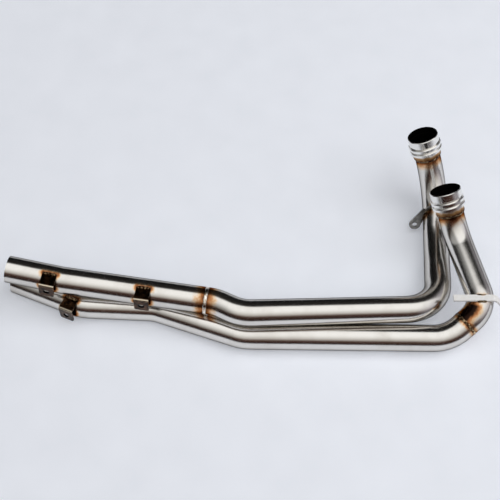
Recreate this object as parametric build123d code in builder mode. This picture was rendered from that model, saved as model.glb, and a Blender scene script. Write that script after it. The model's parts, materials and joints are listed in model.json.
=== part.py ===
from build123d import *
import os
from math import cos, radians, sin, tan

# A pair of bent stainless header pipes, laid down as they come to rest: the lower pipe lies on the
# floor, and the upper one leans over it. X runs along the pipes, Y away from the viewer, Z is up.

# Tube
TUBE_OD = 42.4
TUBE_WALL = 1.5
BEND_RADIUS = 64.0
TIGHT_BEND_RADIUS = 42.0
RISE_BEND_RADIUS = 94.0
SETTLE_BEND_RADIUS = 160.0

# Turned inlet spigot, from its weld end to its mouth. Each step is how far it stands out from the tube.
NECK_STEP = 1.8
NECK_LENGTH = 9.0
RING_STEP = 5.8
REAR_RING_LENGTH = 5.5
FRONT_RING_LENGTH = 6.0
GROOVE_STEP = 3.0
GROOVE_LENGTH = 2.5
LIP_STEP = 4.3
LIP_LENGTH = 12.5
SEAT_STEP = 2.8
SEAT_DEPTH = 10.0
SPIGOT_EDGE = 0.8

# Weld beads
JOINT_BEAD_WIDTH = 6.0
JOINT_BEAD_HEIGHT = 1.3
SPIGOT_BEAD_WIDTH = 4.0
SPIGOT_CROWN_RISE = 0.75
SPIGOT_CROWN_SETBACK = 0.4
ROOT_BEAD_RADIUS = 2.6
TAB_BEAD = 2.2
STRAP_BEAD_RADIUS = 2.2
STRAP_BEAD_LENGTH = 15.0

# Angle brackets for the heat shield
BRACKET_WIDTH = 23.0
BRACKET_PLATE = 3.0
BRACKET_STANDOFF = 7.8
BRACKET_DROP = 27.5
BRACKET_FOLD = 4.5
BRACKET_SET = 0.8
BRACKET_HOLE = 9.0
BRACKET_HOLE_DROP = 16.0
BRACKET_CORNER = 3.0

# Stay tab on the upper downpipe
TAB_PLATE = 3.0
TAB_END_RADIUS = 9.5
TAB_SHOULDER_RADIUS = 4.0
TAB_SHOULDER_LIFT = 16.0
TAB_HOLE = 8.0
TAB_STANDOFF = 12.8
TAB_DROP = 11.0
TAB_RIM = 4.5
TAB_RIM_REACH = 8.0
TAB_LEAN = 20.0
TAB_STATION = 68.0

# Stay strap across the lower downpipe
STRAP_WIDTH = 11.0
STRAP_PLATE = 3.0
STRAP_SEAT = 1.4
STRAP_LONG_EAR = 44.0
STRAP_SHORT_EAR = 20.0
STRAP_FOLD_ANGLE = 52.0
STRAP_FOLD_RADIUS = 9.0
STRAP_EAR_LENGTH = 22.0
STRAP_END_ROUND = 4.0
STRAP_HOLE = 5.0
STRAP_STATION = 37.0

# How the two pipes lie against each other along their straight runs
STACK_GAP = 4.0
STACK_ANGLE_REAR = 72.0
STACK_ANGLE_FRONT = 27.0

tube_radius = TUBE_OD / 2
bore_radius = tube_radius - TUBE_WALL
rest_z = tube_radius
stack_z = rest_z + TUBE_OD
spacing = TUBE_OD + STACK_GAP
spigot_length = (
    NECK_LENGTH + REAR_RING_LENGTH + GROOVE_LENGTH + FRONT_RING_LENGTH + GROOVE_LENGTH + LIP_LENGTH
)
neck_radius = tube_radius + NECK_STEP
ring_radius = tube_radius + RING_STEP
groove_radius = tube_radius + GROOVE_STEP
lip_radius = tube_radius + LIP_STEP
seat_radius = tube_radius + SEAT_STEP
bracket_height = tube_radius - BRACKET_SET
bracket_reach = tube_radius + BRACKET_STANDOFF
tab_spread = tube_radius + TAB_STANDOFF

# Corners of the lower pipe's route, from its tail to its mouth
LOWER_TAIL = Vector(-382.3, -55.4, rest_z)
LOWER_SWEEP = Vector(-272.0, -102.4, rest_z)
LOWER_JOG_REAR = Vector(-154.9, -108.4, rest_z)
LOWER_JOG_FRONT = Vector(-14.4, -159.1, rest_z)
LOWER_TURN = Vector(307.4, -163.8, rest_z)
LOWER_ELBOW = Vector(362.0, -125.1, rest_z + 31)
LOWER_RISE = Vector(332.0, 10.9, rest_z + 40.3)
LOWER_MOUTH_WAY = Vector(-22.6, 39.0, 62.6)
LOWER_MOUTH_STRAIGHT = 4.5
LOWER_JOINT_LEAD = 34.5
LOWER_BRACKET_STATION = 108.0


def toward(start, end, distance):
    """The point at a distance from start on the way to end."""
    return start + (end - start).normalized() * distance


def past_bend(before, corner, way, bend_radius, straight):
    """Where the spigot starts: past the pipe's last bend, a short straight and the weld bead."""
    half_turn = radians((corner - before).get_angle(way)) / 2
    reach = bend_radius * tan(half_turn) + straight + SPIGOT_BEAD_WIDTH
    return corner + way.normalized() * reach


def beside_lower_run(x, angle):
    """An axis point lying against the lower pipe's straight run at a clock angle from level."""
    share = (x - LOWER_JOG_FRONT.X) / (LOWER_TURN.X - LOWER_JOG_FRONT.X)
    run_y = LOWER_JOG_FRONT.Y + share * (LOWER_TURN.Y - LOWER_JOG_FRONT.Y)
    return Vector(x, run_y + spacing * cos(radians(angle)), rest_z + spacing * sin(radians(angle)))


# Corners of the upper pipe's route, from its tail to its mouth
UPPER_TAIL = Vector(-381.9, -73.5, stack_z + 17.5)
UPPER_SWEEP = Vector(-297.6, -87.2, stack_z + 7)
UPPER_JOG_REAR = Vector(-57.6, -124.0, stack_z + 2)
UPPER_JOG_FRONT = beside_lower_run(-17.2, STACK_ANGLE_REAR)
UPPER_ELBOW = beside_lower_run(292.6, STACK_ANGLE_FRONT)
UPPER_SETTLE = Vector(305.3, -13.3, rest_z)
UPPER_LIFT = Vector(308.7, 26.7, rest_z)
UPPER_RISE = Vector(314.4, 130.2, rest_z + 19.7)
UPPER_MOUTH_WAY = Vector(-31.8, 31.0, 93.0)
UPPER_MOUTH_STRAIGHT = 0.8
UPPER_JOINT_LEAD = 13.5
UPPER_REAR_BRACKET_STATION = 69.0
UPPER_FRONT_BRACKET_STATION = 133.0

lower_end = past_bend(LOWER_ELBOW, LOWER_RISE, LOWER_MOUTH_WAY, BEND_RADIUS, LOWER_MOUTH_STRAIGHT)
upper_end = past_bend(UPPER_LIFT, UPPER_RISE, UPPER_MOUTH_WAY, RISE_BEND_RADIUS, UPPER_MOUTH_STRAIGHT)
lower_joint = toward(LOWER_TURN, LOWER_ELBOW, LOWER_JOINT_LEAD)
upper_joint = toward(UPPER_JOG_REAR, UPPER_SWEEP, UPPER_JOINT_LEAD)

lower_tail_route = [LOWER_TAIL, LOWER_SWEEP, LOWER_JOG_REAR, LOWER_JOG_FRONT, LOWER_TURN, lower_joint]
lower_tail_bends = [BEND_RADIUS, BEND_RADIUS, BEND_RADIUS, BEND_RADIUS]
lower_down_route = [lower_joint, LOWER_ELBOW, LOWER_RISE, lower_end]
lower_down_bends = [TIGHT_BEND_RADIUS, BEND_RADIUS]
upper_tail_route = [UPPER_TAIL, UPPER_SWEEP, upper_joint]
upper_tail_bends = [BEND_RADIUS]
upper_down_route = [
    upper_joint,
    UPPER_JOG_REAR,
    UPPER_JOG_FRONT,
    UPPER_ELBOW,
    UPPER_SETTLE,
    UPPER_LIFT,
    UPPER_RISE,
    upper_end,
]
upper_down_bends = [
    BEND_RADIUS,
    BEND_RADIUS,
    BEND_RADIUS,
    SETTLE_BEND_RADIUS,
    SETTLE_BEND_RADIUS,
    RISE_BEND_RADIUS,
]



def bent_tube(route, bends):
    """A tube along a bent route."""
    with BuildPart() as tube:
        with BuildLine():
            FilletPolyline(*route, radius=bends)
        with BuildSketch(Plane(origin=route[0], z_dir=route[1] - route[0])):
            Circle(tube_radius)
            Circle(bore_radius, mode=Mode.SUBTRACT)
        sweep()
    return tube.part


def bent_bar(route, bends, radius):
    """A solid round bar along a bent route, which trims what is welded to the tube."""
    with BuildPart() as bar:
        with BuildLine():
            FilletPolyline(*route, radius=bends)
        with BuildSketch(Plane(origin=route[0], z_dir=route[1] - route[0])):
            Circle(radius)
        sweep()
    return bar.part


def axial_plane(origin, direction):
    """A plane that holds an axis: its X is radial and its Y runs along the direction."""
    across = Plane(origin=origin, z_dir=direction)
    return Plane(origin=origin, x_dir=across.x_dir, z_dir=-across.y_dir)


def cross_plane(origin, direction):
    """A plane square to a pipe: its X points level to the pipe's side and its Y points up."""
    side = Vector(0, 0, 1).cross(direction)
    return Plane(origin=origin, x_dir=side, z_dir=direction)


def inlet_spigot(origin, direction):
    """A turned collar with two rings, two grooves and a seat for the port's stub."""
    rear_ring = NECK_LENGTH + REAR_RING_LENGTH
    rear_groove = rear_ring + GROOVE_LENGTH
    front_ring = rear_groove + FRONT_RING_LENGTH
    front_groove = front_ring + GROOVE_LENGTH
    seat = spigot_length - SEAT_DEPTH
    with BuildPart() as spigot:
        with BuildSketch(axial_plane(origin, direction)):
            with BuildLine():
                Polyline(
                    (bore_radius, 0),
                    (neck_radius, 0),
                    (neck_radius, NECK_LENGTH),
                    (ring_radius, NECK_LENGTH),
                    (ring_radius, rear_ring),
                    (groove_radius, rear_ring),
                    (groove_radius, rear_groove),
                    (ring_radius, rear_groove),
                    (ring_radius, front_ring),
                    (groove_radius, front_ring),
                    (groove_radius, front_groove),
                    (lip_radius, front_groove),
                    (lip_radius, spigot_length),
                    (seat_radius, spigot_length),
                    (seat_radius, seat),
                    (bore_radius, seat),
                    close=True,
                )
            make_face()
        revolve(axis=Axis(origin, direction))
        ring_edges = spigot.edges().filter_by(GeomType.CIRCLE)
        chamfer(ring_edges.filter_by(lambda e: e.radius > (groove_radius + lip_radius) / 2), SPIGOT_EDGE)
    return spigot.part


def spigot_bead(origin, direction):
    """A weld fillet in the corner between the spigot's neck and the tube."""
    with BuildPart() as bead:
        with BuildSketch(axial_plane(origin, direction)):
            with BuildLine():
                foot = (tube_radius, -SPIGOT_BEAD_WIDTH)
                crown = (
                    tube_radius + SPIGOT_CROWN_RISE * NECK_STEP,
                    -SPIGOT_CROWN_SETBACK * SPIGOT_BEAD_WIDTH,
                )
                ThreePointArc(foot, crown, (neck_radius, 0))
                Polyline((neck_radius, 0), (tube_radius, 0), foot)
            make_face()
        revolve(axis=Axis(origin, direction))
    return bead.part


def joint_bead(origin, direction):
    """A raised weld bead round a butt joint."""
    half = JOINT_BEAD_WIDTH / 2
    with BuildPart() as bead:
        with BuildSketch(axial_plane(origin, direction)):
            with BuildLine():
                ThreePointArc(
                    (tube_radius, -half), (tube_radius + JOINT_BEAD_HEIGHT, 0), (tube_radius, half)
                )
                Line((tube_radius, half), (tube_radius, -half))
            make_face()
        revolve(axis=Axis(origin, direction))
    return bead.part


def shield_bracket(origin, direction, pipe):
    """A folded angle bracket: a shelf off the pipe's top and a drilled plate that hangs in front."""
    top = bracket_height
    foot = top - BRACKET_DROP
    hole = top - BRACKET_HOLE_DROP
    with BuildPart() as bracket:
        with BuildSketch(cross_plane(origin, direction)):
            with BuildLine():
                outer = FilletPolyline(
                    (0, top), (bracket_reach, top), (bracket_reach, foot), radius=BRACKET_FOLD
                )
                inner = FilletPolyline(
                    (0, top - BRACKET_PLATE),
                    (bracket_reach - BRACKET_PLATE, top - BRACKET_PLATE),
                    (bracket_reach - BRACKET_PLATE, foot),
                    radius=BRACKET_FOLD - BRACKET_PLATE,
                )
                Line(outer @ 0, inner @ 0)
                Line(outer @ 1, inner @ 1)
            make_face()
        extrude(amount=BRACKET_WIDTH / 2, both=True)
        along = cross_plane(origin, direction)
        corners = bracket.edges().filter_by(Axis(origin, along.x_dir)).group_by(Axis(origin, along.y_dir))[0]
        fillet(corners, BRACKET_CORNER)
        plate_centre = along.from_local_coords((bracket_reach, hole, 0))
        with BuildSketch(Plane(origin=plate_centre, z_dir=along.x_dir)):
            Circle(BRACKET_HOLE / 2)
        extrude(amount=-BRACKET_PLATE, mode=Mode.SUBTRACT)
        add(pipe, mode=Mode.SUBTRACT)
    return bracket.part


def bracket_bead(origin, direction):
    """A weld run along the bracket's root, on top of the pipe."""
    root_side = (tube_radius**2 - bracket_height**2) ** 0.5
    with BuildPart() as bead:
        with BuildSketch(cross_plane(origin, direction)):
            with Locations((root_side, bracket_height)):
                Circle(ROOT_BEAD_RADIUS)
            Circle(tube_radius, mode=Mode.SUBTRACT)
            with Locations((0, bracket_height)):
                Rectangle(
                    bracket_reach, BRACKET_PLATE, align=(Align.MIN, Align.MAX), mode=Mode.SUBTRACT
                )
        extrude(amount=BRACKET_WIDTH / 2 - ROOT_BEAD_RADIUS, both=True)
    return bead.part


def tab_plane(origin, direction):
    """The stay tab's plane: X to the pipe's left, Y up and leaning away along the pipe."""
    left = Vector(0, 0, 1).cross(direction)
    upright = Plane(origin=origin, x_dir=left, z_dir=left.cross(Vector(0, 0, 1)))
    return upright.rotated((-TAB_LEAN, 0, 0))


def tab_blank(origin, direction, thickness):
    """The stay tab's outline as a plate that still runs into the pipe."""
    rim_radius = tube_radius + TAB_RIM
    face = tab_plane(origin, direction)
    with BuildPart() as blank:
        with BuildSketch(face):
            with Locations((tube_radius, TAB_SHOULDER_LIFT)):
                Circle(TAB_SHOULDER_RADIUS)
            with Locations((tab_spread, -TAB_DROP)):
                Circle(TAB_END_RADIUS)
            make_hull()
            with Locations((tab_spread, -TAB_DROP)):
                Circle(TAB_HOLE / 2, mode=Mode.SUBTRACT)
        with BuildSketch(face):
            Ellipse(rim_radius, rim_radius / face.z_dir.dot(direction))
            with Locations((-TAB_RIM_REACH, TAB_SHOULDER_LIFT - TAB_SHOULDER_RADIUS)):
                Rectangle(
                    TAB_RIM_REACH + rim_radius,
                    2 * rim_radius,
                    align=(Align.MIN, Align.MIN),
                    mode=Mode.INTERSECT,
                )
        extrude(amount=thickness / 2, both=True)
    return blank.part


def stay_tab(origin, direction, pipe):
    """A flat ear with a rounded end and one hole, standing off the pipe's left side."""
    with BuildPart() as tab:
        add(tab_blank(origin, direction, TAB_PLATE))
        add(pipe, mode=Mode.SUBTRACT)
    return tab.part


def tab_bead(origin, direction, pipe, pipe_and_bead, tab):
    """A weld run along each face of the tab where it meets the pipe."""
    with BuildPart() as bead:
        add(tab_blank(origin, direction, TAB_PLATE + 2 * TAB_BEAD))
        add(pipe_and_bead, mode=Mode.INTERSECT)
        add(pipe, mode=Mode.SUBTRACT)
        add(tab, mode=Mode.SUBTRACT)
    return bead.part


def stay_strap(origin, direction, pipe):
    """A flat bar saddled over the pipe: one long level ear and one drilled ear folded down."""
    seat = tube_radius - STRAP_SEAT
    top = seat + STRAP_PLATE
    fold = radians(STRAP_FOLD_ANGLE)
    drop = Vector(-cos(fold), -sin(fold))
    outward = Vector(-sin(fold), cos(fold))
    corner = Vector(-STRAP_SHORT_EAR, seat)
    top_corner = Vector(-STRAP_SHORT_EAR - STRAP_PLATE * tan(fold / 2), top)
    tip = corner + drop * STRAP_EAR_LENGTH
    ear_plane = cross_plane(origin, direction)
    with BuildPart() as strap:
        with BuildSketch(ear_plane):
            with BuildLine():
                under = FilletPolyline(
                    (STRAP_LONG_EAR, seat), corner, tip, radius=STRAP_FOLD_RADIUS
                )
                over = FilletPolyline(
                    (STRAP_LONG_EAR, top),
                    top_corner,
                    tip + outward * STRAP_PLATE,
                    radius=STRAP_FOLD_RADIUS + STRAP_PLATE,
                )
                Line(under @ 0, over @ 0)
                Line(under @ 1, over @ 1)
            make_face()
        extrude(amount=STRAP_WIDTH / 2, both=True)
        out_dir = ear_plane.from_local_coords(outward) - origin
        side_dir = ear_plane.x_dir
        tip_edges = strap.edges().filter_by(Axis(origin, out_dir)).group_by(Axis(origin, side_dir))[0]
        fillet(tip_edges, STRAP_END_ROUND)
        hole_centre = tip - drop * (STRAP_WIDTH / 2) + outward * STRAP_PLATE
        with BuildSketch(Plane(origin=ear_plane.from_local_coords(hole_centre), z_dir=out_dir)):
            Circle(STRAP_HOLE / 2)
        extrude(amount=-STRAP_PLATE, mode=Mode.SUBTRACT)
        add(pipe, mode=Mode.SUBTRACT)
    return strap.part


def strap_bead(origin, direction, pipe, strap):
    """A short weld run on the pipe's top along each edge of the strap."""
    cross = cross_plane(origin, direction)
    with BuildPart() as bead:
        with BuildSketch(Plane(origin=origin, x_dir=-cross.z_dir, z_dir=cross.x_dir)):
            with Locations((-STRAP_WIDTH / 2, tube_radius), (STRAP_WIDTH / 2, tube_radius)):
                Circle(STRAP_BEAD_RADIUS)
        extrude(amount=STRAP_BEAD_LENGTH / 2, both=True)
        add(pipe, mode=Mode.SUBTRACT)
        add(strap, mode=Mode.SUBTRACT)
    return bead.part


def export(part, label):
    """Label a finished piece and write it out."""
    part.label = label
    export_step(part, f"parts/{label}.step")


os.makedirs("parts", exist_ok=True)

lower_axis = LOWER_MOUTH_WAY.normalized()
upper_axis = UPPER_MOUTH_WAY.normalized()

lower_tail_core = bent_bar(lower_tail_route, lower_tail_bends, tube_radius)
lower_down_core = bent_bar(lower_down_route, lower_down_bends, tube_radius)
upper_tail_core = bent_bar(upper_tail_route, upper_tail_bends, tube_radius)
upper_down_core = bent_bar(upper_down_route, upper_down_bends, tube_radius)
upper_down_bead_core = bent_bar(upper_down_route, upper_down_bends, tube_radius + TAB_BEAD)

export(bent_tube(lower_tail_route, lower_tail_bends), "lower_tail_pipe")
export(bent_tube(lower_down_route, lower_down_bends), "lower_downpipe")
export(bent_tube(upper_tail_route, upper_tail_bends), "upper_tail_pipe")
export(bent_tube(upper_down_route, upper_down_bends), "upper_downpipe")

for name, end, axis in (("lower", lower_end, lower_axis), ("upper", upper_end, upper_axis)):
    export(inlet_spigot(end, axis), f"{name}_inlet_spigot")
    export(spigot_bead(end, axis), f"{name}_spigot_weld")

export(joint_bead(lower_joint, LOWER_ELBOW - LOWER_TURN), "lower_joint_weld")
export(joint_bead(upper_joint, UPPER_JOG_REAR - UPPER_SWEEP), "upper_joint_weld")

brackets = (
    ("upper_rear", UPPER_TAIL, UPPER_SWEEP, UPPER_REAR_BRACKET_STATION, upper_tail_core),
    ("upper_front", UPPER_SWEEP, UPPER_JOG_REAR, UPPER_FRONT_BRACKET_STATION, upper_tail_core),
    ("lower", LOWER_TAIL, LOWER_SWEEP, LOWER_BRACKET_STATION, lower_tail_core),
)
for name, start, finish, station, core in brackets:
    seat = toward(start, finish, station)
    export(shield_bracket(seat, start - finish, core), f"{name}_shield_bracket")
    export(bracket_bead(seat, start - finish), f"{name}_bracket_weld")

tab_seat = toward(UPPER_RISE, UPPER_LIFT, TAB_STATION)
tab_direction = (UPPER_RISE - UPPER_LIFT).normalized()
tab = stay_tab(tab_seat, tab_direction, upper_down_core)
tab_weld = tab_bead(tab_seat, tab_direction, upper_down_core, upper_down_bead_core, tab)
export(tab, "upper_stay_tab")
export(tab_weld, "upper_stay_tab_weld")

with BuildLine() as lower_down_line:
    FilletPolyline(*lower_down_route, radius=lower_down_bends)
lower_down_axis = lower_down_line.wire()
strap_seat = lower_down_axis.position_at(STRAP_STATION, position_mode=PositionMode.LENGTH)
strap_direction = Vector(0, 1, 0)
strap = stay_strap(strap_seat, strap_direction, lower_down_core)
strap_weld = strap_bead(strap_seat, strap_direction, lower_down_core, strap)
export(strap, "lower_stay_strap")
export(strap_weld, "lower_stay_strap_weld")
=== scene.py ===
import json
import logging
import math
from dataclasses import dataclass
from enum import Enum
from typing import Any

import bmesh
import bpy
import numpy as np
from mathutils import Matrix, Vector


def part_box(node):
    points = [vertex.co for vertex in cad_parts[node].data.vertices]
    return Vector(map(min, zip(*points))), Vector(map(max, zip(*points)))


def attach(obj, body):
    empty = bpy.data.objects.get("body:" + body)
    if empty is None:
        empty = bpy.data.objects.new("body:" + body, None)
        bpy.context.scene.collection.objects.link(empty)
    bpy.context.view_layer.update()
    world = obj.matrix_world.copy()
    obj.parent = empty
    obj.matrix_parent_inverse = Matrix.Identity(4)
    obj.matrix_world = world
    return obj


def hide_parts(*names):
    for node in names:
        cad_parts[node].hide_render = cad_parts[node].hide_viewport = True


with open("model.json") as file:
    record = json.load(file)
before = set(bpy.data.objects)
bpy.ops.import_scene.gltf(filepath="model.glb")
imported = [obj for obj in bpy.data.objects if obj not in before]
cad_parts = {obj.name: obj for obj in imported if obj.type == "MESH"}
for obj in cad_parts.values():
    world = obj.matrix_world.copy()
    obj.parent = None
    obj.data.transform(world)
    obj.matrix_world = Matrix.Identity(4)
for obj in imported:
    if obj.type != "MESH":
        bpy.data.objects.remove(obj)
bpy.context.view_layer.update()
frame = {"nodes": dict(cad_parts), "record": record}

LOG = logging.getLogger("header_pipes")
MM = 0.001
ROOT = "root"
TUBE_RADIUS = 21.2
MERGE_GAP = 0.001

# The colour sockets of a Mix node share their names with other sockets, so they go by number.
MIX_FIRST, MIX_SECOND, MIX_RESULT = 6, 7, 2

Triple = tuple[float, float, float]
Span = tuple[float, float]
Socket = bpy.types.NodeSocket
Tree = bpy.types.NodeTree


def srgb(code: str) -> tuple[float, float, float, float]:
    """Turn an sRGB hex value into a linear colour.

    Args:
        code: six hex digits.

    Returns:
        Red, green, blue and an alpha of 1.
    """
    parts = [int(code[i:i + 2], 16) / 255 for i in (0, 2, 4)]
    linear = [c / 12.92 if c <= 0.04045 else ((c + 0.055) / 1.055) ** 2.4 for c in parts]
    return (linear[0], linear[1], linear[2], 1.0)


def add_node(
    tree: Tree,
    kind: str,
    inputs: dict[Any, Any] | None = None,
    stops: list[tuple[float, str]] | None = None,
    **settings: Any,
) -> bpy.types.Node:
    """Add one shader node with its settings, values and links.

    Args:
        tree: node tree that gets the node.
        kind: the node's type name.
        inputs: socket name or index to a value, or to an output socket to link from.
        stops: places and sRGB hex colours, where the node has a colour ramp.
        settings: attributes of the node itself.

    Returns:
        The new node.
    """
    node = tree.nodes.new(kind)
    for key, value in settings.items():
        setattr(node, key, value)
    for key, value in (inputs or {}).items():
        if isinstance(value, Socket):
            tree.links.new(value, node.inputs[key])
        else:
            node.inputs[key].default_value = value
    if stops:
        ramp = node.color_ramp
        while len(ramp.elements) > 1:
            ramp.elements.remove(ramp.elements[-1])
        ramp.elements[0].position = stops[0][0]
        ramp.elements[0].color = srgb(stops[0][1])
        for place, code in stops[1:]:
            ramp.elements.new(place).color = srgb(code)
    return node


def new_material(name: str) -> tuple[bpy.types.Material, Tree, bpy.types.Node]:
    """Start a node material with one Principled shader wired to its output.

    Args:
        name: the material's name.

    Returns:
        The material, its node tree and the shader node.
    """
    material = bpy.data.materials.new(name)
    material.use_nodes = True
    tree = material.node_tree
    tree.nodes.clear()
    shader = add_node(tree, "ShaderNodeBsdfPrincipled")
    add_node(tree, "ShaderNodeOutputMaterial", {"Surface": shader.outputs["BSDF"]})
    return material, tree, shader


def dress(name: str, material: bpy.types.Material) -> None:
    """Give one CAD node a material.

    Args:
        name: the node's name.
        material: the finish it gets.
    """
    mesh = frame["nodes"][name].data
    mesh.materials.clear()
    mesh.materials.append(material)
    LOG.info("dressed %s", name)


def mount(name: str) -> tuple[Vector, Vector]:
    """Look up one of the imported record's mounts.

    Args:
        name: the mount's name.

    Returns:
        Its place in millimetres, and its axis.
    """
    found = next(row for row in frame["record"]["mounts"] if row["name"] == name)
    return Vector(found["pos_m"]) / MM, Vector(found["axis"])


def middle(node: str) -> Vector:
    """Find the middle of a CAD node's box.

    Args:
        node: the node's name.

    Returns:
        The place in millimetres.
    """
    low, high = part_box(node)
    return (low + high) / 2 / MM


def spread(node: str) -> tuple[Vector, Vector]:
    """Find how a CAD node lies from the way its points spread.

    Args:
        node: the node's name.

    Returns:
        The ways of least and of most spread, which are a ring's axis and a bead's length. Both point to
        the pipes' tail ends.
    """
    points = np.array([vert.co for vert in frame["nodes"][node].data.vertices])
    ways = np.linalg.eigh(np.cov(points.T))[1].T
    least, most = Vector(ways[0]), Vector(ways[-1])
    return least if least.x < 0 else -least, most if most.x < 0 else -most


class MarkLine(Enum):
    """The line that a mark on the metal is measured from."""

    RING = "ring"
    RUN = "run"


@dataclass(frozen=True)
class SurfaceMark:
    """A mark that changes with distance: temper colour by a weld, a painted shadow or painted dark
    reflection on a tube, a fold rubbed bare and painted as a highlight, or the painted shade on the wall of
    a hole.

    Lengths are in millimetres. The level is start on the line itself and 1 at the reach.
    """

    centre: Vector
    axis: Vector
    line: MarkLine
    reach: float
    half_length: float = 0.0
    start: float = 0.0
    # Further than this from a ring's centre, another bend of the tube may cross the ring's plane.
    ring_limit: float = 1.6 * TUBE_RADIUS

    def level(self, tree: Tree, place: Socket) -> Socket:
        """Measure how far each point lies from the mark's line.

        Args:
            tree: node tree that gets the nodes.
            place: the point, in metres.

        Returns:
            The level.
        """
        offset = add_node(
            tree, "ShaderNodeVectorMath", {0: place, 1: self.centre * MM}, operation="SUBTRACT"
        ).outputs["Vector"]
        along = add_node(
            tree, "ShaderNodeVectorMath", {0: offset, 1: self.axis}, operation="DOT_PRODUCT"
        ).outputs["Value"]
        if self.line is MarkLine.RING:
            beside = add_node(tree, "ShaderNodeMath", {0: along}, operation="ABSOLUTE").outputs[0]
            away = add_node(
                tree, "ShaderNodeVectorMath", {0: offset}, operation="LENGTH"
            ).outputs["Value"]
            past = add_node(
                tree, "ShaderNodeMath", {0: away, 1: self.ring_limit * MM}, operation="SUBTRACT"
            ).outputs[0]
            gap = add_node(tree, "ShaderNodeMath", {0: beside, 1: past}, operation="MAXIMUM").outputs[0]
        else:
            half = self.half_length * MM
            held = add_node(tree, "ShaderNodeClamp", {"Value": along, "Min": -half, "Max": half}).outputs[0]
            foot = add_node(
                tree, "ShaderNodeVectorMath", {0: self.axis, "Scale": held}, operation="SCALE"
            ).outputs["Vector"]
            gap = add_node(
                tree, "ShaderNodeVectorMath", {0: offset, 1: foot}, operation="DISTANCE"
            ).outputs["Value"]
        return add_node(
            tree, "ShaderNodeMath", {0: gap, 1: (1 - self.start) / (self.reach * MM), 2: self.start},
            operation="MULTIPLY_ADD",
        ).outputs[0]


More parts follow.
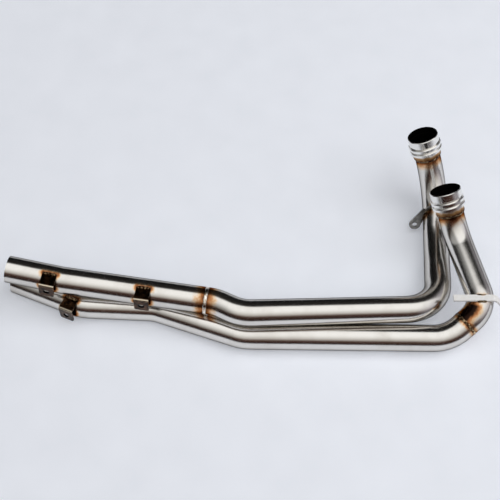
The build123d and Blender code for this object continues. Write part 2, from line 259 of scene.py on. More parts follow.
@dataclass(frozen=True)
class BeltPolishedStainless:
    """Stainless tube polished on a belt: mirror bright, faintly clouded, temper colours by its welds,
    painted shade darkening its edges, and painted shadows and dark reflections in some places.
    """

    steel: str = "E4E1DC"
    dull: str = "D4CFC8"
    # Dark tint at glancing angles: painted shade that darkens the reflections towards the tube's edges.
    grazing_shade: str = "5A5856"
    straw: str = "E4C096"
    brown: str = "AC7248"
    dark_temper_and_shade: str = "2A1C16"
    roughness: Span = (0.15, 0.23)
    # The belt's lines lie about 0.1 mm apart. They are drawn coarser, as a grain, so that they show.
    grain: float = 0.9
    cloud: float = 45.0
    dull_cloud: Span = (0.45, 0.8)
    patch: float = 8.0
    unevenness: float = 0.7
    temper_fade: Span = (0.55, 1.1)
    temper_roughness: float = 0.06

    def lay_temper_and_shade(
        self, tree: Tree, place: Socket, marks: list[SurfaceMark], colour: Socket, rough: Socket
    ) -> tuple[Socket, Socket]:
        """Lay the temper colours, the painted shadows and the painted dark reflections over the plain steel,
        in uneven patches.

        Args:
            tree: node tree that gets the nodes.
            place: the point, in metres.
            marks: one or more welds that the colours lie round, and places of painted shadow and painted
                dark reflection.
            colour: the plain steel's colour.
            rough: the plain steel's roughness.

        Returns:
            The new colour and roughness.
        """
        patch = add_node(
            tree, "ShaderNodeTexNoise",
            {"Vector": place, "Scale": 1 / (self.patch * MM), "Detail": 3.0, "Roughness": 0.6},
        ).outputs["Fac"]
        # The levels come from the welds' temper marks and from the painted shadow and dark reflection marks
        # alike.
        levels = [mark.level(tree, place) for mark in marks]
        heat = levels[0]
        for other in levels[1:]:
            heat = add_node(tree, "ShaderNodeMath", {0: heat, 1: other}, operation="MINIMUM").outputs[0]
        uneven = add_node(
            tree, "ShaderNodeMath", {0: patch, 1: self.unevenness, 2: -self.unevenness / 2},
            operation="MULTIPLY_ADD",
        ).outputs[0]
        level = add_node(tree, "ShaderNodeMath", {0: heat, 1: uneven}, operation="ADD").outputs[0]
        # The darkest stop is the weld's dark temper colour and also the colour of the painted shadows and
        # dark reflections.
        temper = add_node(
            tree, "ShaderNodeValToRGB", {"Fac": level},
            stops=[(0.1, self.dark_temper_and_shade), (0.4, self.brown), (0.7, self.straw), (1.0, self.steel)],
        ).outputs["Color"]
        amount = add_node(
            tree, "ShaderNodeMapRange",
            {"Value": level, "From Min": self.temper_fade[0], "From Max": self.temper_fade[1],
             "To Min": 1.0, "To Max": 0.0},
        ).outputs[0]
        tinted = add_node(
            tree, "ShaderNodeMix", {"Factor": amount, MIX_FIRST: colour, MIX_SECOND: temper},
            data_type="RGBA",
        ).outputs[MIX_RESULT]
        duller = add_node(
            tree, "ShaderNodeMath", {0: amount, 1: self.temper_roughness, 2: rough},
            operation="MULTIPLY_ADD",
        ).outputs[0]
        return tinted, duller

    def material(self, name: str, marks: list[SurfaceMark]) -> bpy.types.Material:
        """Make the finish for one tube.

        Args:
            name: the material's name.
            marks: one or more welds with temper colours round them, and places of painted shadow and painted
                dark reflection.

        Returns:
            The material.
        """
        material, tree, shader = new_material(name)
        place = add_node(tree, "ShaderNodeTexCoord").outputs["Object"]
        cloud = add_node(
            tree, "ShaderNodeTexNoise",
            {"Vector": place, "Scale": 1 / (self.cloud * MM), "Detail": 4.0, "Roughness": 0.55},
        ).outputs["Fac"]
        grain = add_node(
            tree, "ShaderNodeTexNoise",
            {"Vector": place, "Scale": 1 / (self.grain * MM), "Detail": 2.0, "Roughness": 0.5},
        ).outputs["Fac"]
        clouded = add_node(
            tree, "ShaderNodeMapRange",
            {"Value": cloud, "From Min": self.dull_cloud[0], "From Max": self.dull_cloud[1]},
        ).outputs[0]
        plain = add_node(
            tree, "ShaderNodeMix",
            {"Factor": clouded, MIX_FIRST: srgb(self.steel), MIX_SECOND: srgb(self.dull)},
            data_type="RGBA",
        ).outputs[MIX_RESULT]
        gloss = add_node(
            tree, "ShaderNodeMapRange",
            {"Value": grain, "To Min": self.roughness[0], "To Max": self.roughness[1]},
        ).outputs[0]
        colour, rough = self.lay_temper_and_shade(tree, place, marks, plain, gloss)
        tree.links.new(colour, shader.inputs["Base Color"])
        tree.links.new(rough, shader.inputs["Roughness"])
        bump = add_node(
            tree, "ShaderNodeBump", {"Height": cloud, "Strength": 0.05, "Distance": 4 * MM}
        ).outputs["Normal"]
        tree.links.new(bump, shader.inputs["Normal"])
        shader.inputs["Metallic"].default_value = 1.0
        # The dark tint at glancing angles is painted shade on the tube's edges.
        shader.inputs["Specular Tint"].default_value = srgb(self.grazing_shade)
        return material


@dataclass(frozen=True)
class TurnedStainless:
    """Stainless collar turned on a lathe: fine rings round its axis, brown heat at its weld, a bore painted
    near black as shade.

    Lengths are in millimetres, measured along the axis from the weld end. The bore widens to the seat.
    """

    weld_end: Vector
    axis: Vector
    steel: str = "F2F0EC"
    straw: str = "BC9566"
    brown: str = "704628"
    painted_bore_shade: str = "14110F"
    roughness: Span = (0.13, 0.26)
    # A finishing cut's rings lie about 0.2 mm apart. They are drawn coarser, so that they show.
    feed: float = 1.2
    heat_reach: float = 12.0
    patch: float = 8.0
    unevenness: float = 0.8
    scale_fade: Span = (0.4, 0.9)
    scale_roughness: float = 0.32
    bore_shade_roughness: float = 0.5
    bore: float = 21.0
    seat: float = 24.25
    seat_start: float = 27.5
    seat_step: float = 0.1

    def material(self, name: str) -> bpy.types.Material:
        """Make the finish for one collar.

        Args:
            name: the material's name.

        Returns:
            The material.
        """
        material, tree, shader = new_material(name)
        place = add_node(tree, "ShaderNodeTexCoord").outputs["Object"]
        offset = add_node(
            tree, "ShaderNodeVectorMath", {0: place, 1: self.weld_end * MM}, operation="SUBTRACT"
        ).outputs["Vector"]
        along = add_node(
            tree, "ShaderNodeVectorMath", {0: offset, 1: self.axis}, operation="DOT_PRODUCT"
        ).outputs["Value"]
        patch = add_node(
            tree, "ShaderNodeTexNoise",
            {"Vector": place, "Scale": 1 / (self.patch * MM), "Detail": 3.0, "Roughness": 0.6},
        ).outputs["Fac"]
        turns = add_node(
            tree, "ShaderNodeMath", {0: along, 1: 1 / (self.feed * MM)}, operation="MULTIPLY"
        ).outputs[0]
        rings = add_node(
            tree, "ShaderNodeTexNoise", {"W": turns, "Scale": 1.0, "Detail": 2.0, "Roughness": 0.6},
            noise_dimensions="1D",
        ).outputs["Fac"]
        heat = add_node(
            tree, "ShaderNodeMath", {0: along, 1: 1 / (self.heat_reach * MM)}, operation="MULTIPLY"
        ).outputs[0]
        uneven = add_node(
            tree, "ShaderNodeMath", {0: patch, 1: self.unevenness, 2: -self.unevenness / 2},
            operation="MULTIPLY_ADD",
        ).outputs[0]
        level = add_node(tree, "ShaderNodeMath", {0: heat, 1: uneven}, operation="ADD").outputs[0]
        temper = add_node(
            tree, "ShaderNodeValToRGB", {"Fac": level},
            stops=[(0.0, self.brown), (0.4, self.straw), (0.8, self.steel)],
        ).outputs["Color"]
        off_axis = add_node(
            tree, "ShaderNodeVectorMath", {0: offset, 1: self.axis}, operation="CROSS_PRODUCT"
        ).outputs["Vector"]
        radius = add_node(
            tree, "ShaderNodeVectorMath", {0: off_axis}, operation="LENGTH"
        ).outputs["Value"]
        wall = add_node(
            tree, "ShaderNodeMapRange",
            {"Value": along, "From Min": self.seat_start * MM,
             "From Max": (self.seat_start + self.seat_step) * MM,
             "To Min": self.bore * MM, "To Max": self.seat * MM},
        ).outputs[0]
        # Painted shade: everything within the bore is coloured near black.
        bore_shade_mask = add_node(tree, "ShaderNodeMath", {0: radius, 1: wall}, operation="LESS_THAN").outputs[0]
        colour = add_node(
            tree, "ShaderNodeMix", {"Factor": bore_shade_mask, MIX_FIRST: temper, MIX_SECOND: srgb(self.painted_bore_shade)},
            data_type="RGBA",
        ).outputs[MIX_RESULT]
        tree.links.new(colour, shader.inputs["Base Color"])
        turned = add_node(
            tree, "ShaderNodeMapRange",
            {"Value": rings, "To Min": self.roughness[0], "To Max": self.roughness[1]},
        ).outputs[0]
        scaled = add_node(
            tree, "ShaderNodeMapRange",
            {"Value": level, "From Min": self.scale_fade[0], "From Max": self.scale_fade[1],
             "To Min": self.scale_roughness, "To Max": 0.0},
        ).outputs[0]
        dull = add_node(tree, "ShaderNodeMath", {0: turned, 1: scaled}, operation="ADD").outputs[0]
        rough = add_node(
            tree, "ShaderNodeMath", {0: bore_shade_mask, 1: self.bore_shade_roughness, 2: dull}, operation="MULTIPLY_ADD"
        ).outputs[0]
        tree.links.new(rough, shader.inputs["Roughness"])
        bump = add_node(
            tree, "ShaderNodeBump", {"Height": rings, "Strength": 0.12, "Distance": 0.4 * MM}
        ).outputs["Normal"]
        tree.links.new(bump, shader.inputs["Normal"])
        shader.inputs["Metallic"].default_value = 1.0
        return material


@dataclass(frozen=True)
class WeldMetal:
    """Weld metal left as it froze: bright where it is clean, brown to black where oxide lies on it."""

    clean: str = "FBF8F2"
    oxide: str = "B8946A"
    clean_patch: Span = (0.36, 0.54)
    roughness: Span = (0.07, 0.29)
    grain: float = 3.0

    def material(self, name: str) -> bpy.types.Material:
        """Make the finish.

        Args:
            name: the material's name.

        Returns:
            The material.
        """
        material, tree, shader = new_material(name)
        place = add_node(tree, "ShaderNodeTexCoord").outputs["Object"]
        patch = add_node(
            tree, "ShaderNodeTexNoise",
            {"Vector": place, "Scale": 1 / (self.grain * MM), "Detail": 3.0, "Roughness": 0.6},
        ).outputs["Fac"]
        colour = add_node(
            tree, "ShaderNodeValToRGB", {"Fac": patch},
            stops=[(self.clean_patch[0], self.oxide), (self.clean_patch[1], self.clean)],
        ).outputs["Color"]
        tree.links.new(colour, shader.inputs["Base Color"])
        rough = add_node(
            tree, "ShaderNodeMapRange",
            {"Value": patch, "To Min": self.roughness[1], "To Max": self.roughness[0]},
        ).outputs[0]
        tree.links.new(rough, shader.inputs["Roughness"])
        bump = add_node(
            tree, "ShaderNodeBump", {"Height": patch, "Strength": 0.12, "Distance": 0.6 * MM}
        ).outputs["Normal"]
        tree.links.new(bump, shader.inputs["Normal"])
        shader.inputs["Metallic"].default_value = 1.0
        return material


@dataclass(frozen=True)
class SteelPlate:
    """Cut and folded steel plate: patchy scale or a coating on its faces, bare metal where it rubs, a
    painted highlight along each fold and painted shade on each hole's wall.
    """

    scale: str = "150D09"
    bare: str = "583C28"
    # The pale edge colour serves both the worn edges and the painted highlight along each fold.
    edge: str = "F2E6D0"
    bare_patch: Span = (0.4, 0.66)
    roughness: Span = (0.14, 0.3)
    metallic: float = 1.0
    grain: float = 6.0
    # Rubbing leaves scratches about 0.1 mm wide. They are drawn coarser, so that they show.
    scratch: float = 0.8
    scratch_stretch: float = 0.08
    edge_width: float = 0.6
    edge_turn: Span = (0.985, 0.86)
    edge_wear: float = 0.7
    wear_patch: Span = (0.44, 0.6)
    fold_fade: Span = (0.6, 1.0)
    fold_highlight_level: float = 0.9
    hole_shade_fade: Span = (0.9, 1.0)

    def edge_mask(self, tree: Tree, patch: Socket) -> Socket:
        """Find the sharp edges, in patches.

        Args:
            tree: node tree that gets the nodes.
            patch: noise that breaks the wear up.

        Returns:
            How worn each point is.
        """
        rounded = add_node(
            tree, "ShaderNodeBevel", {"Radius": self.edge_width * MM}, samples=8
        ).outputs["Normal"]
        flat = add_node(tree, "ShaderNodeNewGeometry").outputs["Normal"]
        agree = add_node(
            tree, "ShaderNodeVectorMath", {0: rounded, 1: flat}, operation="DOT_PRODUCT"
        ).outputs["Value"]
        corner = add_node(
            tree, "ShaderNodeMapRange",
            {"Value": agree, "From Min": self.edge_turn[0], "From Max": self.edge_turn[1],
             "To Min": 0.0, "To Max": self.edge_wear},
        ).outputs[0]
        touched = add_node(
            tree, "ShaderNodeMapRange",
            {"Value": patch, "From Min": self.wear_patch[0], "From Max": self.wear_patch[1]},
        ).outputs[0]
        return add_node(tree, "ShaderNodeMath", {0: corner, 1: touched}, operation="MULTIPLY").outputs[0]

    def material(
        self, name: str, highlit_folds: tuple[SurfaceMark, ...] = (), shaded_holes: tuple[SurfaceMark, ...] = ()
    ) -> bpy.types.Material:
        """Make the finish.

        Args:
            name: the material's name.
            highlit_folds: fold marks, along which the scale is rubbed off and a painted highlight is laid.
            shaded_holes: hole marks, whose walls are painted dark in the scale colour as shade.

        Returns:
            The material.
        """
        material, tree, shader = new_material(name)
        place = add_node(tree, "ShaderNodeTexCoord").outputs["Object"]
        fine = 1 / (self.scratch * MM)
        stretched = add_node(
            tree, "ShaderNodeMapping",
            {"Vector": place, "Scale": (self.scratch_stretch * fine, fine, fine)},
        ).outputs["Vector"]
        scratch = add_node(
            tree, "ShaderNodeTexNoise", {"Vector": stretched, "Scale": 1.0, "Detail": 2.0}
        ).outputs["Fac"]
        patch = add_node(
            tree, "ShaderNodeTexNoise",
            {"Vector": place, "Scale": 1 / (self.grain * MM), "Detail": 4.0, "Roughness": 0.6},
        ).outputs["Fac"]
        face = add_node(
            tree, "ShaderNodeValToRGB", {"Fac": patch},
            stops=[(self.bare_patch[0], self.scale), (self.bare_patch[1], self.bare)],
        ).outputs["Color"]
        worn = self.edge_mask(tree, patch)
        # Along each fold the pale edge colour is laid, partly as bare metal where the scale is rubbed off
        # and partly as a painted highlight.
        for fold in highlit_folds:
            rubbed = add_node(
                tree, "ShaderNodeMapRange",
                {"Value": fold.level(tree, place), "From Min": self.fold_fade[0],
                 "From Max": self.fold_fade[1], "To Min": self.fold_highlight_level, "To Max": 0.0},
            ).outputs[0]
            worn = add_node(tree, "ShaderNodeMath", {0: worn, 1: rubbed}, operation="MAXIMUM").outputs[0]
        # Painted shade: each hole's wall is coloured like the dark scale and loses its edge wear.
        for hole in shaded_holes:
            clear = add_node(
                tree, "ShaderNodeMapRange",
                {"Value": hole.level(tree, place), "From Min": self.hole_shade_fade[0],
                 "From Max": self.hole_shade_fade[1]},
            ).outputs[0]
            worn = add_node(tree, "ShaderNodeMath", {0: worn, 1: clear}, operation="MULTIPLY").outputs[0]
            face = add_node(
                tree, "ShaderNodeMix",
                {"Factor": clear, MIX_FIRST: srgb(self.scale), MIX_SECOND: face},
                data_type="RGBA",
            ).outputs[MIX_RESULT]
        colour = add_node(
            tree, "ShaderNodeMix", {"Factor": worn, MIX_FIRST: face, MIX_SECOND: srgb(self.edge)},
            data_type="RGBA",
        ).outputs[MIX_RESULT]
        tree.links.new(colour, shader.inputs["Base Color"])
        rough = add_node(
            tree, "ShaderNodeMapRange",
            {"Value": scratch, "To Min": self.roughness[0], "To Max": self.roughness[1]},
        ).outputs[0]
        tree.links.new(rough, shader.inputs["Roughness"])
        bump = add_node(
            tree, "ShaderNodeBump", {"Height": scratch, "Strength": 0.15, "Distance": 0.3 * MM}
        ).outputs["Normal"]
        tree.links.new(bump, shader.inputs["Normal"])
        shader.inputs["Metallic"].default_value = self.metallic
        return material


@dataclass(frozen=True)
class MattPaper:
    """Matt paper for the floor: pale, faintly mottled, with no shine."""

    pale: str = "EEF2FA"
    shade: str = "EAEEF6"
    mottle: float = 60.0
    glow: float = 0.2

    def material(self, name: str) -> bpy.types.Material:
        """Make the finish, with a glow that the camera and mirrored rays see and that lights nothing.

        Args:
            name: the material's name.

        Returns:
            The material.
        """
        material, tree, shader = new_material(name)
        place = add_node(tree, "ShaderNodeTexCoord").outputs["Object"]
        mottle = add_node(
            tree, "ShaderNodeTexNoise", {"Vector": place, "Scale": 1 / (self.mottle * MM), "Detail": 3.0}
        ).outputs["Fac"]
        colour = add_node(
            tree, "ShaderNodeValToRGB", {"Fac": mottle}, stops=[(0.3, self.shade), (0.7, self.pale)]
        ).outputs["Color"]
        tree.links.new(colour, shader.inputs["Base Color"])
        path = add_node(tree, "ShaderNodeLightPath").outputs
        mirrored = add_node(
            tree, "ShaderNodeMath", {0: path["Is Glossy Ray"], 1: path["Is Transmission Ray"]},
            operation="MAXIMUM",
        ).outputs[0]
        shown = add_node(
            tree, "ShaderNodeMath", {0: path["Is Camera Ray"], 1: mirrored}, operation="MAXIMUM"
        ).outputs[0]
        glow = add_node(tree, "ShaderNodeMath", {0: shown, 1: self.glow}, operation="MULTIPLY").outputs[0]
        tree.links.new(colour, shader.inputs["Emission Color"])
        tree.links.new(glow, shader.inputs["Emission Strength"])
        shader.inputs["Roughness"].default_value = 0.9
        shader.inputs["Specular IOR Level"].default_value = 0.1
        return material


@dataclass(frozen=True)
class Studio:
    """Floor, sky, lamp and camera. Lengths are in millimetres."""

    target: Triple = (-3.4, 19.8, 0.0)
    distance: float = 1600.0
    elevation: float = 55.0
    lens: float = 68.1
    sensor: float = 36.0
    floor_reach: float = 3000.0
    floor_front: float = 440.0
    sky_strength: float = 1.12
    # Places are shares of the half turn from the front horizon over the top to the far horizon.
    sky_band: tuple[tuple[float, str], ...] = (
        (0.0, "45302A"), (0.11, "45302A"), (0.145, "6A5A52"), (0.21, "BEBAB6"), (0.34, "F4F4F2"),
        (0.42, "FFFFFF"), (0.605, "FFFFFF"), (0.635, "1E1C1A"), (1.0, "141416"),
    )
    left_fade: Span = (-0.7, -0.25)
    left_level: float = 0.35
    right_fade: Span = (0.55, 0.95)
    right_share: float = 0.8
    right_fill: str = "C4C1C8"
    horizon_fade: Span = (0.04, 0.3)
    horizon_level: float = 0.4
    lamp_place: Triple = (1500.0, -300.0, 1900.0)
    lamp_size: float = 2400.0
    lamp_power: float = 15.0
    paper: MattPaper = MattPaper()

    def build_floor(self) -> None:
        """Lay the floor, which ends just in front of the picture."""
        mesh = bpy.data.meshes.new("floor")
        shape = bmesh.new()
        bmesh.ops.create_grid(shape, x_segments=4, y_segments=4, size=self.floor_reach * MM)
        back = (self.floor_reach - self.floor_front) * MM
        bmesh.ops.translate(shape, verts=shape.verts, vec=(0, back, 0))
        shape.to_mesh(mesh)
        shape.free()
        floor = bpy.data.objects.new("floor", mesh)
        bpy.context.scene.collection.objects.link(floor)
        mesh.materials.append(self.paper.material("pale_paper"))

    def build_sky(self) -> None:
        """Make a soft band of light overhead, dim at the horizon and on the left, filled in on the right."""
        world = bpy.data.worlds.new("studio_sky")
        bpy.context.scene.world = world
        world.use_nodes = True
        tree = world.node_tree
        tree.nodes.clear()
        sight = add_node(tree, "ShaderNodeTexCoord").outputs["Generated"]
        way = add_node(tree, "ShaderNodeSeparateXYZ", {0: sight}).outputs
        front = add_node(tree, "ShaderNodeMath", {0: way["Y"], 1: -1.0}, operation="MULTIPLY").outputs[0]
        turn = add_node(tree, "ShaderNodeMath", {0: way["Z"], 1: front}, operation="ARCTAN2").outputs[0]
        share = add_node(tree, "ShaderNodeMath", {0: turn, 1: 1 / math.pi}, operation="MULTIPLY").outputs[0]
        band = add_node(
            tree, "ShaderNodeValToRGB", {"Fac": share}, stops=list(self.sky_band)
        ).outputs["Color"]
        left = add_node(
            tree, "ShaderNodeMapRange",
            {"Value": way["X"], "From Min": self.left_fade[0], "From Max": self.left_fade[1],
             "To Min": self.left_level, "To Max": 1.0},
            interpolation_type="SMOOTHSTEP",
        ).outputs[0]
        rise = add_node(
            tree, "ShaderNodeMapRange",
            {"Value": way["Z"], "From Min": self.horizon_fade[0], "From Max": self.horizon_fade[1],
             "To Min": self.horizon_level, "To Max": 1.0},
        ).outputs[0]
        level = add_node(tree, "ShaderNodeMath", {0: left, 1: rise}, operation="MULTIPLY").outputs[0]
        right = add_node(
            tree, "ShaderNodeMapRange",
            {"Value": way["X"], "From Min": self.right_fade[0], "From Max": self.right_fade[1],
             "To Min": 0.0, "To Max": self.right_share},
        ).outputs[0]
        filled = add_node(
            tree, "ShaderNodeMix",
            {"Factor": right, MIX_FIRST: band, MIX_SECOND: srgb(self.right_fill)},
            data_type="RGBA",
        ).outputs[MIX_RESULT]
        light = add_node(
            tree, "ShaderNodeVectorMath", {0: filled, "Scale": level}, operation="SCALE"
        ).outputs["Vector"]
        sky = add_node(
            tree, "ShaderNodeBackground", {"Color": light, "Strength": self.sky_strength}
        ).outputs[0]
        add_node(tree, "ShaderNodeOutputWorld", {"Surface": sky})

    def build_lamp(self) -> None:
        """Hang one large soft lamp to the right and a little in front, which the steel doesn't mirror."""
        data = bpy.data.lights.new("soft_lamp", "AREA")
        data.size = self.lamp_size * MM
        data.energy = self.lamp_power
        lamp = bpy.data.objects.new("soft_lamp", data)
        lamp.visible_glossy = False
        bpy.context.scene.collection.objects.link(lamp)
        place = Vector(self.lamp_place) * MM
        lamp.location = place
        aim = Vector(self.target) * MM - place
        lamp.rotation_euler = aim.to_track_quat("-Z", "Y").to_euler()

    def build_camera(self) -> None:
        """Stand the camera at the place that fits the photograph."""
        data = bpy.data.cameras.new("camera")
        data.lens = self.lens
        data.sensor_width = self.sensor
        camera = bpy.data.objects.new("camera", data)
        bpy.context.scene.collection.objects.link(camera)
        lift = math.radians(self.elevation)
        back = Vector((0, -math.cos(lift), math.sin(lift))) * self.distance
        camera.location = (Vector(self.target) + back) * MM
        camera.rotation_euler = (math.radians(90 - self.elevation), 0, 0)
        bpy.context.scene.camera = camera

    def build(self) -> None:
        """Set up the whole stage."""
        self.build_floor()
        self.build_sky()
        self.build_lamp()
        self.build_camera()
        bpy.context.scene.view_settings.view_transform = "Standard"
        LOG.info("studio: floor, sky, lamp and camera")


def place_piece(
    name: str, shape: bmesh.types.BMesh, material: bpy.types.Material, node: str
) -> bpy.types.Object:
    """Make a finished mesh into a piece that stands for one CAD node.

    Args:
        name: the piece's name.
        shape: its mesh, already in place; it is freed here.
        material: its finish.
        node: the CAD node it replaces.

    Returns:
        The new object.
    """
    mesh = bpy.data.meshes.new(name)
    for face in shape.faces:
        face.smooth = True
    shape.to_mesh(mesh)
    shape.free()
    mesh.materials.append(material)
    piece = bpy.data.objects.new(name, mesh)
    bpy.context.scene.collection.objects.link(piece)
    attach(piece, ROOT)
    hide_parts(node)
    LOG.info("built %s", name)
    return piece


def stand(centre: Vector, way: Vector) -> Matrix:
    """Work out the move that takes a shape from the Z axis to its place.

    Args:
        centre: where its origin goes, in millimetres.
        way: where its Z axis points.

    Returns:
        The matrix, in metres.
    """
    turn = Vector((0, 0, 1)).rotation_difference(way).to_matrix().to_4x4()
    return Matrix.Translation(centre * MM) @ turn


@dataclass(frozen=True)
class RippledRing:
    """A weld bead round a tube, laid in overlapping ripples.

    The section is radius and place along the axis, in millimetres.
    """

    node: str
    centre: Vector
    axis: Vector
    section: tuple[Span, ...]
    ripples: int = 62
    steps_per_ripple: int = 6
    swell: float = 0.18
    sink: float = 0.1
    lag: float = 0.22

    def build(self, material: bpy.types.Material) -> bpy.types.Object:
        """Spin the section round the tube and raise its ripples.

        Args:
            material: the bead's finish.

        Returns:
            The bead.
        """
        shape = bmesh.new()
        rim = [shape.verts.new((radius * MM, 0.0, along * MM)) for radius, along in self.section]
        loop = [shape.edges.new(pair) for pair in zip(rim, rim[1:] + rim[:1])]
        bmesh.ops.spin(
            shape, geom=rim + loop, cent=(0, 0, 0), axis=(0, 0, 1), dvec=(0, 0, 0),
            angle=2 * math.pi, steps=self.ripples * self.steps_per_ripple, use_merge=True,
        )
        bmesh.ops.remove_doubles(shape, verts=shape.verts, dist=MERGE_GAP * MM)
        foot = min(radius for radius, _ in self.section) * MM
        for vert in shape.verts:
            turn = math.atan2(vert.co.y, vert.co.x)
            reach = math.hypot(vert.co.x, vert.co.y)
            wave = math.cos(self.ripples * turn + self.lag * (vert.co.z / MM) ** 2)
            grown = foot + (reach - foot) * (1 + self.swell * wave - self.sink)
            vert.co.x *= grown / reach
            vert.co.y *= grown / reach
        bmesh.ops.recalc_face_normals(shape, faces=shape.faces)
        bmesh.ops.transform(shape, matrix=stand(self.centre, self.axis), verts=shape.verts)
        return place_piece(f"{self.node}_ripples", shape, material, self.node)


@dataclass(frozen=True)
class RippledRun:
    """One or more straight weld runs, laid in overlapping ripples. Lengths are in millimetres."""

    node: str
    centres: tuple[Vector, ...]
    way: Vector
    length: float
    radius: float
    segments: int = 20
    ripples: int = 9
    cuts_per_ripple: int = 5
    swell: float = 0.16
    lag: float = 0.9
    end_power: int = 6
    end_floor: float = 0.04

    def build(self, material: bpy.types.Material) -> bpy.types.Object:
        """Draw out a rod for each run, round its ends and raise its ripples.

        Args:
            material: the bead's finish.

        Returns:
            The beads as one piece.
        """
        shape = bmesh.new()
        length = self.length * MM
        radius = self.radius * MM
        for centre in self.centres:
            rod = bmesh.ops.create_cone(
                shape, cap_ends=True, segments=self.segments, radius1=radius, radius2=radius, depth=length
            )["verts"]
            sides = [
                edge for edge in {e for v in rod for e in v.link_edges}
                if edge.verts[0].co.z * edge.verts[1].co.z < 0
            ]
            bmesh.ops.subdivide_edges(
                shape, edges=sides, cuts=self.ripples * self.cuts_per_ripple, use_grid_fill=True
            )
            # A run that is finished is tagged, so that the next one leaves it where it is.
            verts = [vert for vert in shape.verts if not vert.tag]
            for vert in verts:
                share = 2 * vert.co.z / length
                end = math.sqrt(max(self.end_floor, 1 - share ** self.end_power))
                turn = math.atan2(vert.co.y, vert.co.x)
                wave = math.cos(math.pi * self.ripples * share + self.lag * math.sin(turn) ** 2)
                vert.co.x *= end * (1 + self.swell * wave)
                vert.co.y *= end * (1 + self.swell * wave)
            bmesh.ops.transform(shape, matrix=stand(centre, self.way), verts=verts)
            for vert in verts:
                vert.tag = True
        bmesh.ops.recalc_face_normals(shape, faces=shape.faces)
        return place_piece(f"{self.node}_ripples", shape, material, self.node)


@dataclass(frozen=True)
class ShieldBracket:
    """A bracket welded on by its shelf, folded down at the shelf's end and drilled below the fold.

    Its places follow from the mount of its hole. Lengths are in millimetres.
    """

    name: str
    shelf: float = 23.24
    drop: float = 16.0
    stand_off: float = 8.3
    bead_length: float = 19.0
    bead_radius: float = 2.5

    def weld(self) -> str:
        """Name the CAD node of its weld."""
        return f"{self.name}_bracket_weld"

    def hole(self) -> tuple[Vector, Vector]:
        """Find the hole's middle and its axis, which points out from the tube."""
        return mount(f"{self.name}_shield_hole")

    def way(self) -> Vector:
        """Find the way the tube runs under the bracket."""
        return spread(self.weld())[1]

    def fold(self) -> Vector:
        """Find the middle of the fold."""
        hole, out = self.hole()
        return hole + self.drop * self.way().cross(out)

    def seat(self) -> Vector:
        """Find the middle of the weld."""
        return self.fold() - self.shelf * self.hole()[1]

    def heat_and_shadow_marks(self) -> list[SurfaceMark]:
        """Mark the tube along the weld with temper colour, and lay a painted shadow of the bracket on it
        behind the hole.

        Returns:
            The two marks.
        """
        hole, out = self.hole()
        # Painted shadow: the tube behind the hole is darkened in temper colours as if in the bracket's
        # shade.
        shade = hole - self.stand_off * out
        return [
            SurfaceMark(self.seat(), self.way(), MarkLine.RUN, reach=9.0, half_length=10.0),
            SurfaceMark(shade, self.way(), MarkLine.RUN, reach=14.0, half_length=6.0, start=-0.6),
        ]

    def fold_highlight_mark(self) -> SurfaceMark:
        """Mark the fold, where the scale is rubbed off and a painted highlight is laid."""
        return SurfaceMark(self.fold(), self.way(), MarkLine.RUN, reach=3.4, half_length=11.5)

    def hole_shade_mark(self) -> SurfaceMark:
        """Mark the hole's wall, which is painted dark as shade."""
        return SurfaceMark(*self.hole(), MarkLine.RUN, reach=5.4, half_length=4.0)

    def dress(self, material: bpy.types.Material) -> None:
        """Give the bracket its finish."""
        dress(f"{self.name}_shield_bracket", material)

    def build_weld(self, material: bpy.types.Material) -> None:
        """Lay the rippled bead along the shelf's end."""
        bead = RippledRun(self.weld(), (self.seat(),), self.way(), self.bead_length, self.bead_radius)
        bead.build(material)


@dataclass(frozen=True)
class StayTab:
    """The flat tab that stands on the upper pipe. Lengths are in millimetres."""

    node: str = "upper_stay_tab"
    foot: Triple = (297.0, 68.0, 44.0)
    way: Triple = (0.0, 0.342, 0.9397)

    def heat_mark(self) -> SurfaceMark:
        """Mark the tube along the tab's foot."""
        return SurfaceMark(Vector(self.foot), Vector(self.way), MarkLine.RUN, reach=12.0, half_length=10.0)

    def dress(self, material: bpy.types.Material) -> None:
        """Give the tab its finish."""
        dress(self.node, material)

    def build_weld(self, material: bpy.types.Material) -> None:
        """Finish the tab's weld, whose CAD beads stay as they are."""
        dress(f"{self.node}_weld", material)


@dataclass(frozen=True)
class StayStrap:
    """The flat strap over the lower pipe, with a bead along each side. Lengths are in millimetres."""

    node: str = "lower_stay_strap"
    way: Triple = (1.0, 0.0, 0.0)
    bead_offsets: tuple[Triple, ...] = ((0.0, -5.5, -0.3), (0.0, 5.5, 0.2))
    bead_length: float = 15.0
    bead_radius: float = 2.0

    def weld(self) -> str:
        """Name the CAD node of its weld."""
        return f"{self.node}_weld"

    def heat_mark(self) -> SurfaceMark:
        """Mark the tube faintly under the strap."""
        centre = middle(self.weld())
        return SurfaceMark(centre, Vector(self.way), MarkLine.RUN, reach=12.0, half_length=8.0, start=0.55)

    def dress(self, material: bpy.types.Material) -> None:
        """Give the strap its finish."""
        dress(self.node, material)

    def build_weld(self, material: bpy.types.Material) -> None:
        """Lay both rippled beads."""
        centres = tuple(middle(self.weld()) + Vector(offset) for offset in self.bead_offsets)
        RippledRun(
            self.weld(), centres, Vector(self.way), self.bead_length, self.bead_radius
        ).build(material)


JOINT_HALF = ((20.9, 2.7), (21.4, 2.3), (21.65, 1.5), (21.75, 0.6))
JOINT_SECTION = tuple((radius, -along) for radius, along in JOINT_HALF) + JOINT_HALF[::-1]
SPIGOT_SECTION = (
    (20.9, -4.2), (21.5, -3.9), (22.1, -3.2), (22.7, -2.2), (23.1, -1.1), (23.2, 0.0), (22.9, 0.5),
    (20.9, 0.5),
)


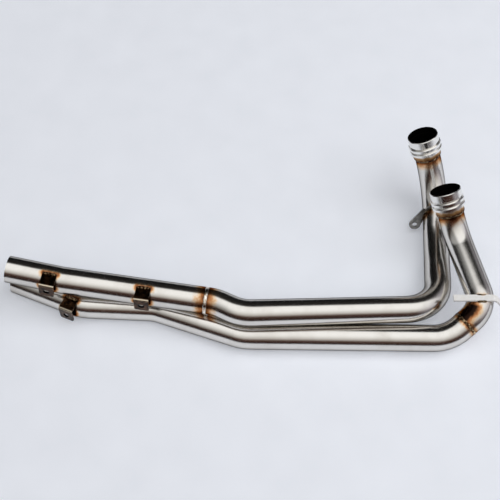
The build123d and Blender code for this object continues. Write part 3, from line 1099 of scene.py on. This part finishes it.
@dataclass(frozen=True)
class HeaderPipe:
    """One of the two pipes: tubes, spigot, welds and the plates welded to it. Lengths are in millimetres."""

    name: str
    brackets: tuple[ShieldBracket, ...]
    stay: StayTab | StayStrap
    joint_reach: float
    # Dark patches laid on the downpipe as painted reflections of the dark surroundings.
    painted_dark_reflections: tuple[SurfaceMark, ...] = ()
    joint_start: float = 0.15
    joint_swell: float = 0.06
    collar_length: float = 38.0
    collar_reach: float = 20.0
    tube: BeltPolishedStainless = BeltPolishedStainless()

    def joint(self) -> tuple[Vector, Vector]:
        """Find the middle of the joint between the tubes, and its axis, which points from the tail."""
        weld = f"{self.name}_joint_weld"
        return middle(weld), -spread(weld)[0]

    def spigot(self) -> tuple[Vector, Vector]:
        """Find the collar's weld end, and its axis, which points to its mouth."""
        mouth, axis = mount(f"{self.name}_inlet_seat")
        return mouth - self.collar_length * axis, axis

    def dress_tubes(self) -> None:
        """Polish both tubes, lay the temper colours round their welds, and lay the painted shadows behind
        the brackets and any painted dark reflections.
        """
        joint = SurfaceMark(*self.joint(), MarkLine.RING, self.joint_reach, start=self.joint_start)
        collar = SurfaceMark(*self.spigot(), MarkLine.RING, self.collar_reach)
        bracket_heat_and_shadow = [mark for bracket in self.brackets for mark in bracket.heat_and_shadow_marks()]
        for node, marks in (
            (f"{self.name}_tail_pipe", [joint, *bracket_heat_and_shadow]),
            (f"{self.name}_downpipe", [joint, collar, self.stay.heat_mark(), *self.painted_dark_reflections]),
        ):
            dress(node, self.tube.material(f"{node}_stainless", marks))

    def dress_spigot(self) -> None:
        """Finish the turned collar."""
        collar = TurnedStainless(*self.spigot())
        dress(f"{self.name}_inlet_spigot", collar.material(f"{self.name}_turned_stainless"))

    def dress_plates(self, shield: bpy.types.Material, stay: bpy.types.Material) -> None:
        """Finish the brackets and the stay.

        Args:
            shield: the brackets' finish.
            stay: the stay's finish.
        """
        for bracket in self.brackets:
            bracket.dress(shield)
        self.stay.dress(stay)

    def build_welds(self, joint: bpy.types.Material, scorched: bpy.types.Material) -> None:
        """Lay the beads of the joint, the collar, the brackets and the stay.

        Args:
            joint: finish of the bead between the tubes.
            scorched: finish of the other beads.
        """
        seam = RippledRing(
            f"{self.name}_joint_weld", *self.joint(), JOINT_SECTION, swell=self.joint_swell
        )
        seam.build(joint)
        RippledRing(f"{self.name}_spigot_weld", *self.spigot(), SPIGOT_SECTION).build(scorched)
        for bracket in self.brackets:
            bracket.build_weld(scorched)
        self.stay.build_weld(scorched)


# A painted dark reflection on the lower elbow, laid in temper colours where the elbow faces the dark
# surroundings.
ELBOW_PAINTED_REFLECTION = SurfaceMark(
    Vector((332.0, -140.0, 59.5)), Vector((0.73, 0.535, 0.435)), MarkLine.RUN, reach=21.0, half_length=9.0,
    start=-0.3,
)
UPPER = HeaderPipe(
    name="upper",
    brackets=(ShieldBracket("upper_rear"), ShieldBracket("upper_front")),
    stay=StayTab(),
    joint_reach=22.0,
)
LOWER = HeaderPipe(
    name="lower",
    brackets=(ShieldBracket("lower"),),
    stay=StayStrap(),
    joint_reach=10.0,
    painted_dark_reflections=(ELBOW_PAINTED_REFLECTION,),
)


def main() -> None:
    """Set up the stage, dress every piece and lay the welds."""
    logging.basicConfig(level=logging.INFO, format="%(name)s: %(message)s")
    Studio().build()
    brackets = UPPER.brackets + LOWER.brackets
    bare_weld = WeldMetal().material("bare_weld_metal")
    scorched_weld = WeldMetal(
        clean="D9BE94", oxide="3A2416", clean_patch=(0.48, 0.66), roughness=(0.22, 0.44)
    ).material("scorched_weld_metal")
    shield = SteelPlate().material(
        "scorched_steel_plate",
        highlit_folds=tuple(bracket.fold_highlight_mark() for bracket in brackets),
        shaded_holes=tuple(bracket.hole_shade_mark() for bracket in brackets),
    )
    tab = SteelPlate(scale="84827E", bare="B4B2AD", roughness=(0.3, 0.46)).material("dull_steel_plate")
    strap = SteelPlate(
        scale="F8F7F4", bare="FFFFFF", roughness=(0.64, 0.8), metallic=0.0
    ).material("white_powder_coated_steel")
    for pipe, stay, joint in ((UPPER, tab, bare_weld), (LOWER, strap, scorched_weld)):
        pipe.dress_tubes()
        pipe.dress_spigot()
        pipe.dress_plates(shield, stay)
        pipe.build_welds(joint, scorched_weld)


if __name__ == "__main__":
    main()
